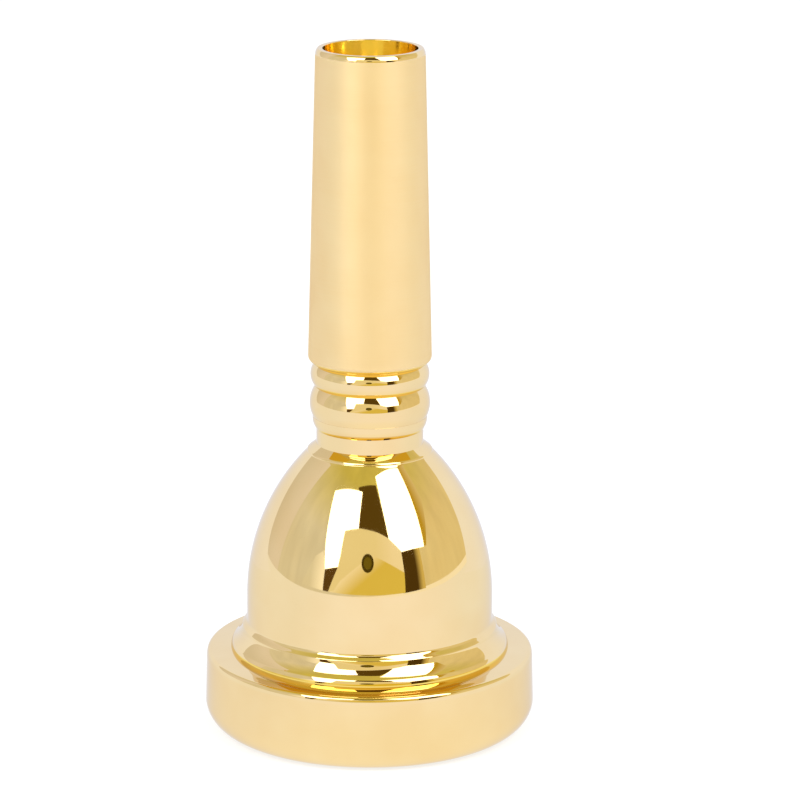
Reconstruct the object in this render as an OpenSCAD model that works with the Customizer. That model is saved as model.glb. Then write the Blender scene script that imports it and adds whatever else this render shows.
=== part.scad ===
// Large-shank trombone mouthpiece that unscrews into a rim, a cup and a shank.
// It stands on its rim. The origin is the centre of the rim's crown, and +Z runs up to the tip.
// Each piece is turned, so each is one outline of radius and height, swept round the axis.
// All sizes are in millimetres.

/* [Rim] */
// Outside diameter of the rim band at its widest, beside the crown
rim_d = 39.2; // [37.5:0.05:44]
// Outside diameter of the rim band at its top, under the shoulder
rim_top_d = 38.9; // [37.5:0.05:44]
// Height of the rim from its crown to the seat that the cup stands on
rim_h = 9.5; // [8.5:0.1:13]
// Rounding of the outer edge, beside the crown
rim_edge_r = 3.1; // [1:0.1:3.8]
// Rounding of the band's upper part, where it starts to lean in
rim_side_r = 2.75; // [1.5:0.05:4]
// Angle that the band leans in by before its corner, in degrees
rim_side_turn = 14; // [4:1:24]
// Rounding of the upper outer corner
rim_corner_r = 0.45; // [0.3:0.05:1.2]
// Fall of the shoulder from the seat out to the corner
shoulder_fall = 0.2; // [0.05:0.05:0.6]
// Diameter of the mouth, between the inner walls of the rim
bite_d = 25.4; // [23.5:0.1:26.4]
// Rounding of the inner edge, where the lips meet the cup
bite_edge_r = 1.8; // [0.8:0.1:2.2]

/* [Cup inside] */
// Height of the straight wall at the foot of the cup, before the cup narrows
cup_straight = 0.8; // [0.2:0.1:4]
// Radius of the arc that the cup narrows along
cup_arc_r = 22; // [20:0.5:25]
// Rounding where the cup runs into the throat
throat_entry_r = 4; // [2:0.1:6]
// Diameter of the throat
throat_d = 6.6; // [5.8:0.05:7.4]

/* [Cup outside] */
// Diameter of the rounded ring at the foot
foot_ring_d = 33.1; // [32.6:0.05:35]
// Height of the rounded ring
foot_ring_h = 0.9; // [0.5:0.02:1.2]
// Profile radius of the rounded ring
foot_ring_arc_r = 1.6; // [1.3:0.05:3]
// Height of the hollow cove above the ring
cove_h = 1.8; // [1.4:0.01:2.6]
// Radius of the cove
cove_r = 3.4; // [2.4:0.05:6]
// Diameter of the crisp edge at the top of the cove
foot_edge_d = 29.9; // [29.5:0.05:31]
// Radius of the fillet from the crisp edge up into the bowl's wall
foot_fillet_r = 2.2; // [1:0.05:4]
// Diameter of the bowl
bowl_d = 29.22; // [28.2:0.02:29.4]
// Height of the bowl's upright wall, from the crisp edge to where the bowl rounds in
bowl_wall_h = 3.76; // [2:0.01:6]
// Height of the rounded bowl
bowl_h = 17.64; // [16:0.02:22]
// Diameter of the bowl at its top
bowl_top_d = 14.82; // [14:0.02:16]
// Rounding of the bowl's top edge
bowl_edge_r = 0.41; // [0.1:0.01:0.6]
// Slope of the ledge from the bowl's top edge up to the neck, in degrees
ledge_slope = 36.5; // [15:0.5:50]
// Diameter of the neck
neck_d = 12.65; // [12.3:0.05:13.2]
// Length of the neck
neck_h = 1.79; // [1:0.02:4]

/* [Collar and beads] */
// Diameter of the collar over the neck
collar_d = 13.54; // [13.3:0.02:14]
// Height of the collar
collar_h = 1.52; // [1.2:0.02:2.4]
// Profile radius of the collar
collar_r = 2; // [1.6:0.05:3]
// Diameter of the large bead
large_bead_d = 14.2; // [13.8:0.02:15]
// Height of the large bead
large_bead_h = 3.62; // [3:0.02:4.4]
// Height of the large bead's widest line above its foot
large_bead_mid = 1.54; // [1.2:0.02:2]
// Profile radius of the large bead
large_bead_r = 3.5; // [3.2:0.05:5]
// Diameter of the small bead
small_bead_d = 14; // [13.6:0.02:14.6]
// Height of the small bead
small_bead_h = 2.78; // [2:0.02:3.4]
// Profile radius of the small bead
small_bead_r = 2.07; // [1.9:0.01:3]

/* [Shank] */
// Length of the shank from the small bead to the tip
shank_len = 37.22; // [28:0.02:45]
// Diameter of the shank's taper at the tip
tip_d = 12.7; // [12.2:0.05:13]
// Length over which the taper grows one millimetre in diameter
taper_run = 20; // [18:0.1:24]
// Rounding of the shank's lower edge
shank_edge_r = 0.86; // [0.2:0.02:1]
// Thickness of the wall at the tip
lip_wall = 0.83; // [0.83:0.01:1.6]
// Rounding of the lip's outer edge
lip_r = 1; // [0.4:0.02:1.2]
// Angle that the outer rounding turns through, in degrees
lip_turn = 40; // [20:1:58]
// Rounding of the lip's top
lip_top_r = 0.15; // [0.1:0.01:0.3]
// Rounding of the lip's inner edge
lip_inner_r = 0.08; // [0.05:0.01:0.2]
// Length of the flare at the end of the airway
flare_len = 12; // [4:0.5:18]
// Angle between the flare's wall and the axis, in degrees
flare_angle = 3.5; // [2.5:0.1:6]

/* [Screw joint between rim and cup] */
// Diameter of the plain register that centres the cup in the rim
rim_register_d = 30; // [29:0.1:31.5]
// Length of the register
rim_register_len = 1.5; // [0.8:0.1:2]
// Length of the threaded end beyond the register
rim_thread_len = 2.8; // [1.5:0.1:3.2]
// Depth of the thread below the register
rim_thread_depth = 0.5; // [0.3:0.05:0.8]

/* [Screw joint between cup and shank] */
// Diameter of the plain register that centres the shank in the cup
shank_register_d = 10; // [9.6:0.05:10.6]
// Length of the register
shank_register_len = 1.5; // [0.8:0.1:2.5]
// Length of the threaded end beyond the register
shank_thread_len = 5.6; // [3:0.1:6.4]
// Depth of the thread below the register
shank_thread_depth = 0.45; // [0.3:0.05:0.6]

/* [Fits] */
// Gap all round between a register and its socket
fit_gap = 0.04; // [0.02:0.01:0.1]
// Gap between the end of a screwed piece and the floor of its socket
end_gap = 0.15; // [0.05:0.05:0.4]
// Chamfer that leads a threaded end into its socket
lead_in = 0.3; // [0.1:0.05:0.4]

/* [Hidden] */
$fn = 128;
// Most that the chords of an arc may stray from the true arc
arc_tolerance = 0.003;

rim_r = rim_d / 2;
rim_top_r = rim_top_d / 2;
bite_r = bite_d / 2;
foot_ring_r = foot_ring_d / 2;
foot_edge_r = foot_edge_d / 2;
bowl_r = bowl_d / 2;
bowl_top_r = bowl_top_d / 2;
neck_r = neck_d / 2;
throat_r = throat_d / 2;
tip_r = tip_d / 2;
tip_bore_r = tip_r - lip_wall;

// The bowl is an arc that starts upright at its wall and ends at its top diameter
bowl_inset = bowl_r - bowl_top_r;
bowl_arc_r = (bowl_inset * bowl_inset + bowl_h * bowl_h) / (2 * bowl_inset);
// The fillet starts upright at the bowl's wall and ends at the crisp edge
foot_fillet_turn = acos(1 - (foot_edge_r - bowl_r) / foot_fillet_r);
// The collar swells from the neck, so its lower half is as tall as its arc needs
collar_swell = (collar_d - neck_d) / 2;
collar_mid = sqrt(collar_swell * (2 * collar_r - collar_swell));

// Heights up the axis, each from the one below
seat_z = rim_h;
ring_top_z = seat_z + foot_ring_h;
foot_edge_z = ring_top_z + cove_h;
bowl_z = foot_edge_z + bowl_wall_h;
bowl_top_z = bowl_z + bowl_h;
ledge_z = bowl_top_z + bowl_edge_r * cos(ledge_slope);
ledge_r = bowl_top_r - bowl_edge_r * (1 - sin(ledge_slope));
neck_z = ledge_z + (ledge_r - neck_r) * tan(ledge_slope);
collar_z = neck_z + neck_h;
large_bead_z = collar_z + collar_h;
small_bead_z = large_bead_z + large_bead_h;
shank_z = small_bead_z + small_bead_h;
tip_z = shank_z + shank_len;

// Ends of the two screwed pieces, and the floors of the sockets that take them
cup_end_z = seat_z - rim_register_len - rim_thread_len;
rim_floor_z = cup_end_z - end_gap;
shank_end_z = shank_z - shank_register_len - shank_thread_len;
cup_floor_z = shank_end_z - end_gap;

// The cup's arc and the throat meet in a rounded entry that touches both
cup_arc_centre = [bite_r - cup_arc_r, cup_end_z + cup_straight];
entry_r = throat_r + throat_entry_r;
entry_run = entry_r - cup_arc_centre[0];
entry_angle = acos(entry_run / (cup_arc_r + throat_entry_r));
entry_z = cup_arc_centre[1] + entry_run * tan(entry_angle);

// Radius of the shank's taper at a height
function taper_r(z) = tip_r + (tip_z - z) / taper_run / 2;

// Points along an arc, from one angle to another
function arc(centre, r, from, to) =
    let (steps = ceil(abs(to - from) / (2 * acos(1 - arc_tolerance / r))))
    [for (i = [0 : steps]) let (a = from + (to - from) * i / steps) centre + r * [cos(a), sin(a)]];

// Points up a turned bead, which swells to r_wide at z_wide, between two heights
function bead(r_wide, z_wide, r, z0, z1) =
    arc([r_wide - r, z_wide], r, asin((z0 - z_wide) / r), asin((z1 - z_wide) / r));

// Points along the shallow hollow of radius r between two points, with its centre to their right
function hollow(p0, p1, r) =
    let (chord = p1 - p0, half = norm(chord) / 2)
    let (centre = (p0 + p1) / 2 + sqrt(r * r - half * half) * [chord[1], -chord[0]] / norm(chord))
    let (a0 = atan2(p0[1] - centre[1], p0[0] - centre[0]))
    let (a1 = atan2(p1[1] - centre[1], p1[0] - centre[0]))
    arc(centre, r, a0 < 0 ? a0 + 360 : a0, a1 < 0 ? a1 + 360 : a1);

// Points up a screwed end: lead-in chamfer, thread root and plain register
function screwed_end(end_z, register_r, register_len, thread_depth, top_z) =
    let (root_r = register_r - thread_depth)
    [
        [root_r - lead_in, end_z],
        [root_r, end_z + lead_in],
        [root_r, top_z - register_len],
        [register_r, top_z - register_len],
        [register_r, top_z]
    ];

// Rim that the lips rest on, with the socket that the cup screws into
module rim() {
    socket_r = rim_register_d / 2 + fit_gap;
    // The band's upper rounding runs on into the smaller rounding of its corner
    side_step = rim_side_r - rim_corner_r;
    side_centre = [
        rim_top_r - rim_side_r,
        seat_z - shoulder_fall - rim_corner_r - side_step * sin(rim_side_turn)
    ];
    corner_centre = side_centre + side_step * [cos(rim_side_turn), sin(rim_side_turn)];
    color("goldenrod") rotate_extrude() polygon(concat(
        arc([bite_r + bite_edge_r, bite_edge_r], bite_edge_r, 180, 270),
        arc([rim_r - rim_edge_r, rim_edge_r], rim_edge_r, 270, 360),
        arc(side_centre, rim_side_r, 0, rim_side_turn),
        arc(corner_centre, rim_corner_r, rim_side_turn, 90),
        [
            [foot_ring_r, seat_z],
            [socket_r, seat_z],
            [socket_r, rim_floor_z],
            [bite_r, rim_floor_z]
        ]
    ));
}

// Cup with its foot, bowl, neck, collar and beads, and the socket that the shank screws into
module cup() {
    socket_r = shank_register_d / 2 + fit_gap;
    ring = bead(foot_ring_r, seat_z, foot_ring_arc_r, seat_z, ring_top_z);
    color("gold") rotate_extrude() polygon(concat(
        [[bite_r, cup_end_z]],
        screwed_end(cup_end_z, rim_register_d / 2, rim_register_len, rim_thread_depth, seat_z),
        ring,
        hollow(ring[len(ring) - 1], [foot_edge_r, foot_edge_z], cove_r),
        arc([bowl_r + foot_fillet_r, foot_edge_z + foot_fillet_r * sin(foot_fillet_turn)], foot_fillet_r,
            180 + foot_fillet_turn, 180),
        arc([bowl_r - bowl_arc_r, bowl_z], bowl_arc_r, 0, asin(bowl_h / bowl_arc_r)),
        arc([bowl_top_r - bowl_edge_r, bowl_top_z], bowl_edge_r, 0, 90 - ledge_slope),
        [[neck_r, neck_z]],
        bead(collar_d / 2, collar_z + collar_mid, collar_r, collar_z, large_bead_z),
        bead(large_bead_d / 2, large_bead_z + large_bead_mid, large_bead_r, large_bead_z, small_bead_z),
        bead(small_bead_d / 2, small_bead_z + small_bead_h / 2, small_bead_r, small_bead_z, shank_z),
        [
            [socket_r, shank_z],
            [socket_r, cup_floor_z],
            [throat_r, cup_floor_z]
        ],
        arc([entry_r, entry_z], throat_entry_r, 180, 180 + entry_angle),
        arc(cup_arc_centre, cup_arc_r, entry_angle, 0)
    ));
}

// Shank that plugs into the instrument, with its tapered airway
module shank() {
    edge_z = shank_z + shank_edge_r;
    // The lip's outer rounding runs on into the smaller rounding of its top
    lip_step = lip_r - lip_top_r;
    lip_z = tip_z - lip_top_r - lip_step * sin(lip_turn);
    lip_centre = [taper_r(lip_z) - lip_r, lip_z];
    flare_r = tip_bore_r - (flare_len - lip_inner_r) * tan(flare_angle);
    color("burlywood") rotate_extrude() polygon(concat(
        [[throat_r, shank_end_z]],
        screwed_end(shank_end_z, shank_register_d / 2, shank_register_len, shank_thread_depth, shank_z),
        arc([taper_r(edge_z) - shank_edge_r, edge_z], shank_edge_r, 270, 360),
        arc(lip_centre, lip_r, 0, lip_turn),
        arc(lip_centre + lip_step * [cos(lip_turn), sin(lip_turn)], lip_top_r, lip_turn, 90),
        arc([tip_bore_r + lip_inner_r, tip_z - lip_inner_r], lip_inner_r, 90, 180),
        [[flare_r, tip_z - flare_len]]
    ));
}

rim();
cup();
shank();
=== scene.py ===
"""Gold-plated trombone mouthpiece, dressed over its solids and set in a plain white studio.

Every piece is turned, so it is drawn as one outline of radius and height and spun round the axis. Sizes of
the mouthpiece are in millimetres, and the frame gives the heights where its pieces meet. The finished meshes
and the studio are in metres. Angles are in degrees unless a comment says otherwise.
"""
import logging
import math
from abc import ABC, abstractmethod
from collections.abc import Callable, Mapping
from dataclasses import dataclass
from enum import Enum
from typing import Any, ClassVar

import bmesh
import bpy
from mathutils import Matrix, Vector


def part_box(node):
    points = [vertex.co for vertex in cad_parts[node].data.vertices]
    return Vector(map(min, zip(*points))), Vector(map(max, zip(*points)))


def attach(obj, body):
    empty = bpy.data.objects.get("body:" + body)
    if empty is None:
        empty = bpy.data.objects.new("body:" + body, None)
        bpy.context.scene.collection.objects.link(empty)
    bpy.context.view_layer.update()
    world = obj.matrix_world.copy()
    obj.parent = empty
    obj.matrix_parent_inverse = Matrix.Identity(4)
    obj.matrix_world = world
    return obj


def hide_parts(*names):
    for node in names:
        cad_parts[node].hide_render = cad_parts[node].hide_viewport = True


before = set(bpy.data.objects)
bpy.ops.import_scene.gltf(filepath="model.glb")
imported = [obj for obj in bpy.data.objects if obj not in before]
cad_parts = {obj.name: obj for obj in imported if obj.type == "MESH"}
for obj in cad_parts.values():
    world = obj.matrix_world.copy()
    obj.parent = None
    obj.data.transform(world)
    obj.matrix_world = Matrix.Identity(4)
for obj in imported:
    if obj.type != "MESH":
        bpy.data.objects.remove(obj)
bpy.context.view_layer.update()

MM = 0.001
# Steps round the axis, and the angle in radians past which a turned edge stays crisp
ROUND_STEPS = 240
CRISP_ANGLE = math.radians(28)
# Rounding that a buffing wheel leaves on a crisp edge, and the parts that it is drawn in
BUFFED_EDGE = 0.05
BUFFED_STEPS = 3
# Points that are closer than this are one, in an outline and in the mesh that is spun from it
SAME_POINT = 1e-4
# Slack for telling on which side of a seam a face is
SEAM = 0.1
# A normal that points in by more than this is in a bore, down by more than this is in a groove under a bead,
# and up by more than this is on top of the lip
INWARD = -0.5
UNDERSIDE = -0.45
LIP_TOP = 0.2
# Middle of the bowl in metres, which the studio's cards face
BOWL_MIDDLE = Vector((0, 0, 22 * MM))
# Range that a noise pattern mostly keeps to
NOISE_LOW = 0.3
NOISE_HIGH = 0.7
# Strength of a softbox's light
SOFTBOX = 3.35
# Sockets of a Mix node that mixes colours
MIX_SHARE = 0
MIX_FIRST = 6
MIX_SECOND = 7
MIX_RESULT = 2

log = logging.getLogger("mouthpiece")


class Body(Enum):
    """The bodies that come apart, each with a solid of the same name."""

    RIM = "rim"
    CUP = "cup"
    SHANK = "shank"


class Slot(Enum):
    """The record's material slots."""

    POLISHED = "polished_gold_plate"
    SATIN = "satin_gold_plate"


class Rays(Enum):
    """Which rays see a thing in the studio."""

    ALL = "all"
    MIRRORED = "mirrored"


def linear(colour: str) -> tuple[float, float, float, float]:
    """Turn an sRGB hex colour to linear.

    Args:
        colour: The colour as "#RRGGBB".

    Returns:
        Linear red, green and blue, with an alpha of 1.
    """
    parts = [int(colour[i:i + 2], 16) / 255 for i in (1, 3, 5)]
    red, green, blue = (c / 12.92 if c <= 0.04045 else ((c + 0.055) / 1.055) ** 2.4 for c in parts)
    return red, green, blue, 1.0


def add_node(
    tree: bpy.types.NodeTree, kind: str, inputs: Mapping[str | int, Any] | None = None, **settings: Any
) -> bpy.types.Node:
    """Add a node with its settings and links.

    Args:
        tree: The tree to add it to.
        kind: The node's type name.
        inputs: A value to set, or an output to link, for each input by name or number.
        **settings: Properties of the node itself.

    Returns:
        The new node.
    """
    node = tree.nodes.new(kind)
    for name, value in settings.items():
        setattr(node, name, value)
    for key, value in (inputs or {}).items():
        if isinstance(value, bpy.types.NodeSocket):
            tree.links.new(value, node.inputs[key])
        else:
            node.inputs[key].default_value = value
    return node


def empty_material(name: str) -> tuple[bpy.types.Material, bpy.types.NodeTree]:
    """Make a node material with nothing in it.

    Args:
        name: The material's name.

    Returns:
        The material and its node tree.
    """
    material = bpy.data.materials.new(name)
    material.use_nodes = True
    material.node_tree.nodes.clear()
    return material, material.node_tree


@dataclass(frozen=True)
class GoldPlate:
    """Gold plate on brass, a few micrometres thick: a pale warm metal that takes the base's surface."""

    name: str
    colour: str = "#FBE0A6"
    deep_colour: str = "#F8DA9D"
    # Colour that the plate keeps where it is seen edge-on
    edge_colour: str = "#F0EFEE"
    # Width of the faint clouds where the plate is a little thicker and deeper in colour
    cloud_mm: float = 7.0
    # How much each finer layer of a pattern adds
    layer_share: float = 0.55

    def noise(
        self, tree: bpy.types.NodeTree, place: bpy.types.NodeSocket, scale: Vector, detail: float
    ) -> bpy.types.NodeSocket:
        """Add a noise pattern that is stretched along the axes.

        Args:
            tree: The material's tree.
            place: The coordinates that it follows.
            scale: Spots in a metre along X, Y and Z.
            detail: Number of finer layers.

        Returns:
            The output that runs from 0 to 1.
        """
        mapping = add_node(tree, "ShaderNodeMapping", {"Vector": place, "Scale": scale})
        inputs = {"Vector": mapping.outputs[0], "Scale": 1.0, "Detail": detail, "Roughness": self.layer_share}
        return add_node(tree, "ShaderNodeTexNoise", inputs).outputs[0]

    def spread(
        self, tree: bpy.types.NodeTree, value: bpy.types.NodeSocket, low: float, high: float
    ) -> bpy.types.NodeSocket:
        """Map the middle of a noise pattern to a range.

        Args:
            tree: The material's tree.
            value: The pattern.
            low: What its dark spots become.
            high: What its bright spots become.

        Returns:
            The output in the new range.
        """
        inputs = {"From Min": NOISE_LOW, "From Max": NOISE_HIGH, "To Min": low, "To Max": high}
        return add_node(tree, "ShaderNodeMapRange", {"Value": value, **inputs}).outputs[0]

    def tint(self, tree: bpy.types.NodeTree, place: bpy.types.NodeSocket) -> bpy.types.NodeSocket:
        """Add the plate's colour with its faint clouds.

        Args:
            tree: The material's tree.
            place: The coordinates that the clouds follow.

        Returns:
            The colour's output.
        """
        spots = 1 / (self.cloud_mm * MM)
        clouds = self.noise(tree, place, Vector((spots, spots, spots)), detail=2.0)
        inputs = {
            MIX_SHARE: self.spread(tree, clouds, 0.0, 1.0),
            MIX_FIRST: linear(self.colour),
            MIX_SECOND: linear(self.deep_colour),
        }
        return add_node(tree, "ShaderNodeMix", inputs, data_type="RGBA").outputs[MIX_RESULT]

    def bump(
        self, tree: bpy.types.NodeTree, height: bpy.types.NodeSocket, depth_um: float
    ) -> bpy.types.NodeSocket:
        """Add a fine relief.

        Args:
            tree: The material's tree.
            height: The pattern of the relief, from 0 to 1.
            depth_um: Its depth in micrometres.

        Returns:
            The normal's output.
        """
        inputs = {"Height": height, "Strength": 1.0, "Distance": depth_um * MM * MM}
        return add_node(tree, "ShaderNodeBump", inputs).outputs[0]

    def shade(self, tree: bpy.types.NodeTree, inputs: Mapping[str | int, Any]) -> None:
        """Add the metal's shader and link it to the material's output.

        Args:
            tree: The material's tree.
            inputs: Values and links of the shader.
        """
        metal = {"Metallic": 1.0, "Specular Tint": linear(self.edge_colour)}
        shader = add_node(tree, "ShaderNodeBsdfPrincipled", {**metal, **inputs})
        add_node(tree, "ShaderNodeOutputMaterial", {"Surface": shader.outputs[0]})


@dataclass(frozen=True)
class PolishedGoldPlate(GoldPlate):
    """Buffed brass under gold plate: a clear mirror, with the slight waves and haze of a buffing wheel."""

    name: str = "polished_gold_plate"
    # Width and depth of the waves that the wheel leaves
    wave_mm: float = 2.5
    wave_um: float = 0.35
    # Width of the streaks of haze, which run on round the axis for some times that
    haze_mm: float = 0.9
    haze_run: float = 8.0
    # Roughness between the streaks and in them
    clear: float = 0.022
    hazy: float = 0.05

    def material(self) -> bpy.types.Material:
        """Make the material.

        Returns:
            The new material.
        """
        material, tree = empty_material(self.name)
        place = add_node(tree, "ShaderNodeTexCoord").outputs["Object"]
        wave, haze = (1 / (size * MM) for size in (self.wave_mm, self.haze_mm))
        along = haze / self.haze_run
        waves = self.noise(tree, place, Vector((wave, wave, wave)), detail=0.0)
        streaks = self.noise(tree, place, Vector((along, along, haze)), detail=3.0)
        self.shade(tree, {
            "Base Color": self.tint(tree, place),
            "Roughness": self.spread(tree, streaks, self.clear, self.hazy),
            "Normal": self.bump(tree, waves, self.wave_um),
        })
        return material


@dataclass(frozen=True)
class GrooveShadeGoldPlate(PolishedGoldPlate):
    """Polished gold plate with painted shade in a groove: a deep yellow line round the part, standing for the
    shade there and the gold that it mirrors.
    """

    name: str = "gold_plate_with_painted_groove_shade"
    # Deep yellow that paints the groove's shade and the gold mirrored in it
    colour: str = "#FFDE74"
    deep_colour: str = "#FDD768"


@dataclass(frozen=True)
class SatinGoldPlate(GoldPlate):
    """Gold plate over brass, brushed round the axis as it turned: a soft sheen drawn out along the axis."""

    name: str = "satin_gold_plate"
    colour: str = "#FDE3AC"
    deep_colour: str = "#FADDA3"
    edge_colour: str = "#F0E6D2"
    # Real brush lines are about 0.02 mm apart, so they are drawn wide enough to show
    line_mm: float = 0.12
    line_um: float = 0.45
    # Brush lines run on round the axis for many times their width
    line_run: float = 60.0
    smooth: float = 0.46
    rough: float = 0.52
    # How far the sheen is drawn out, and its turn to lie across the brush lines, in turns
    stretch: float = 0.35
    stretch_turn: float = 0.25

    def material(self) -> bpy.types.Material:
        """Make the material.

        Returns:
            The new material.
        """
        material, tree = empty_material(self.name)
        place = add_node(tree, "ShaderNodeTexCoord").outputs["Object"]
        line = 1 / (self.line_mm * MM)
        along = line / self.line_run
        lines = self.noise(tree, place, Vector((along, along, line)), detail=2.0)
        round_axis = add_node(tree, "ShaderNodeTangent", direction_type="RADIAL", axis="Z").outputs[0]
        self.shade(tree, {
            "Base Color": self.tint(tree, place),
            "Roughness": self.spread(tree, lines, self.smooth, self.rough),
            "Normal": self.bump(tree, lines, self.line_um),
            "Anisotropic": self.stretch,
            "Anisotropic Rotation": self.stretch_turn,
            "Tangent": round_axis,
        })
        return material


@dataclass(frozen=True)
class TurnedGoldPlate(GoldPlate):
    """Gold plate over brass as it left the reamer or the threading tool: fine rings and a softer mirror."""

    name: str = "turned_gold_plate"
    colour: str = "#FCE27F"
    deep_colour: str = "#FADB74"
    # A finishing cut leaves rings about 0.05 mm apart, so they are drawn wide enough to show
    ring_mm: float = 0.16
    ring_um: float = 0.12
    # Rings run on round the axis for many times their width
    ring_run: float = 90.0
    smooth: float = 0.09
    rough: float = 0.14

    def material(self) -> bpy.types.Material:
        """Make the material.

        Returns:
            The new material.
        """
        material, tree = empty_material(self.name)
        place = add_node(tree, "ShaderNodeTexCoord").outputs["Object"]
        ring = 1 / (self.ring_mm * MM)
        along = ring / self.ring_run
        rings = self.noise(tree, place, Vector((along, along, ring)), detail=1.0)
        self.shade(tree, {
            "Base Color": self.tint(tree, place),
            "Roughness": self.spread(tree, rings, self.smooth, self.rough),
            "Normal": self.bump(tree, rings, self.ring_um),
        })
        return material


class Finish(Enum):
    """The finishes that the pieces have, one of which is painted groove shade."""

    POLISHED = PolishedGoldPlate()
    SATIN = SatinGoldPlate()
    TURNED = TurnedGoldPlate()
    GROOVE_SHADE = GrooveShadeGoldPlate()


class Outline:
    """A pen that draws a turned piece's outline, with the radius along X and the height along Z."""

    def __init__(self, r: float, z: float) -> None:
        """Put the pen down.

        Args:
            r: Radius of the first point.
            z: Height of the first point.
        """
        self.mesh = bmesh.new()
        self.first = self.pen = self.mesh.verts.new((r, 0, z))
        self.crisp: list[bmesh.types.BMVert] = []

    def keep_crisp(self) -> None:
        """Mark the corner under the pen, which gets only the rounding of a buffed edge."""
        self.crisp.append(self.pen)

    def line_to(self, r: float, z: float, rings: int = 1) -> None:
        """Draw a straight line.

        Args:
            r: Radius at its end.
            z: Height at its end.
            rings: Number of parts that it is split into.
        """
        part = (Vector((r, 0, z)) - self.pen.co) / rings
        for _ in range(rings):
            made = bmesh.ops.extrude_vert_indiv(self.mesh, verts=[self.pen])
            self.pen = made["verts"][0]
            bmesh.ops.translate(self.mesh, verts=[self.pen], vec=part)

    def arc(self, r: float, z: float, degrees: float, step: float = 3.0) -> None:
        """Draw an arc round a centre, counter-clockwise where the angle is positive.

        Args:
            r: Radius of the centre.
            z: Height of the centre.
            degrees: Angle of the arc.
            step: Widest angle of a part.
        """
        made = bmesh.ops.spin(
            self.mesh, geom=[self.pen], cent=(r, 0, z), axis=(0, -1, 0), angle=math.radians(degrees),
            steps=math.ceil(abs(degrees) / step), use_merge=False,
        )
        self.pen = next(item for item in made["geom_last"] if isinstance(item, bmesh.types.BMVert))

    def arc_to(self, r: float, z: float, radius: float, step: float = 3.0) -> None:
        """Draw a hollow arc to a point, with its centre to the right of the way there.

        Args:
            r: Radius at its end.
            z: Height at its end.
            radius: Radius of the arc.
            step: Widest angle of a part.
        """
        way = Vector((r, 0, z)) - self.pen.co
        half = way.length / 2
        right = Vector((way.z, 0, -way.x)).normalized()
        centre = self.pen.co + way / 2 + right * math.sqrt(radius ** 2 - half ** 2)
        self.arc(centre.x, centre.z, -2 * math.degrees(math.asin(half / radius)), step)

    def bead_to(self, r_wide: float, z_wide: float, radius: float, z: float) -> None:
        """Draw a bead's arc up to a height, from the pen moved straight to where the arc starts.

        Args:
            r_wide: Radius of the bead at its widest.
            z_wide: Height of its widest line.
            radius: Radius of the arc.
            z: Height at its end.
        """
        low = math.asin((self.pen.co.z - z_wide) / radius)
        high = math.asin((z - z_wide) / radius)
        centre = r_wide - radius
        start = centre + radius * math.cos(low)
        if abs(start - self.pen.co.x) > SAME_POINT:
            self.line_to(start, self.pen.co.z)
        self.arc(centre, z_wide, math.degrees(high - low))

    def spun(self) -> bmesh.types.BMesh:
        """Close the outline, round its crisp corners and spin it to a solid in metres.

        Returns:
            The mesh of the turned piece.
        """
        mesh = self.mesh
        mesh.edges.new((self.pen, self.first))
        bmesh.ops.remove_doubles(mesh, verts=mesh.verts[:], dist=SAME_POINT)
        corners = [vert for vert in self.crisp if vert.is_valid]
        bmesh.ops.bevel(
            mesh, geom=corners, offset=BUFFED_EDGE, offset_type="OFFSET", affect="VERTICES",
            segments=BUFFED_STEPS, profile=0.5, material=-1,
        )
        bmesh.ops.spin(
            mesh, geom=mesh.verts[:] + mesh.edges[:], cent=(0, 0, 0), axis=(0, 0, 1), angle=math.tau,
            steps=ROUND_STEPS, use_merge=True,
        )
        bmesh.ops.remove_doubles(mesh, verts=mesh.verts[:], dist=SAME_POINT)
        bmesh.ops.scale(mesh, vec=(MM, MM, MM), verts=mesh.verts[:])
        bmesh.ops.recalc_face_normals(mesh, faces=mesh.faces[:])
        return mesh


Materials = Mapping[Finish, bpy.types.Material]
Zone = Callable[[float, float, Vector], Finish]


def make_piece(
    name: str, mesh: bmesh.types.BMesh, materials: Materials, zone: Zone, body: Body
) -> bpy.types.Object:
    """Turn a mesh into a piece that rides on its body.

    Args:
        name: The piece's name.
        mesh: Its mesh in metres, which is freed.
        materials: Its materials, with the one that it mostly shows first.
        zone: Gives a face's finish from its radius and height in millimetres and its normal, which is turned
            so that its X points out from the axis.
        body: The body that it moves with.

    Returns:
        The new object.
    """
    order = list(materials)
    for face in mesh.faces:
        face.smooth = True
        middle = face.calc_center_median()
        out = Vector((middle.x, middle.y, 0)).normalized()
        normal = Vector((face.normal.dot(out), 0, face.normal.z))
        face.material_index = order.index(zone(middle.to_2d().length / MM, middle.z / MM, normal))
    for edge in mesh.edges:
        edge.smooth = edge.is_boundary or edge.calc_face_angle() < CRISP_ANGLE
    data = bpy.data.meshes.new(name)
    mesh.to_mesh(data)
    mesh.free()
    for material in materials.values():
        data.materials.append(material)
    piece = bpy.data.objects.new(name, data)
    bpy.context.scene.collection.objects.link(piece)
    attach(piece, body.value)
    log.info("%s rides on %s with %d faces", name, body.value, len(data.polygons))
    return piece


class TurnedPart(ABC):
    """A part that is spun from one outline and stands for the solid of its body."""

    body: ClassVar[Body]
    slot: ClassVar[Slot]
    # The part's finishes, with the one that it mostly shows first
    finishes: ClassVar[tuple[Finish, ...]]

    @abstractmethod
    def build(self) -> bmesh.types.BMesh:
        """Draw and spin the part."""

    @abstractmethod
    def zone(self, r: float, z: float, normal: Vector) -> Finish:
        """Give a face's finish."""

    def dress(self, made: Materials) -> None:
        """Make the part a piece in place of its solid.

        Args:
            made: The material of each finish.
        """
        name = self.body.value
        materials = {finish: made[finish] for finish in self.finishes}
        piece = make_piece(f"{name}_turned", self.build(), materials, self.zone, self.body)
        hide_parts(name)


class Side(Enum):
    """The side of a wall that a thread stands on, as the sign of its height."""

    OUTSIDE = 1
    INSIDE = -1


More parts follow.
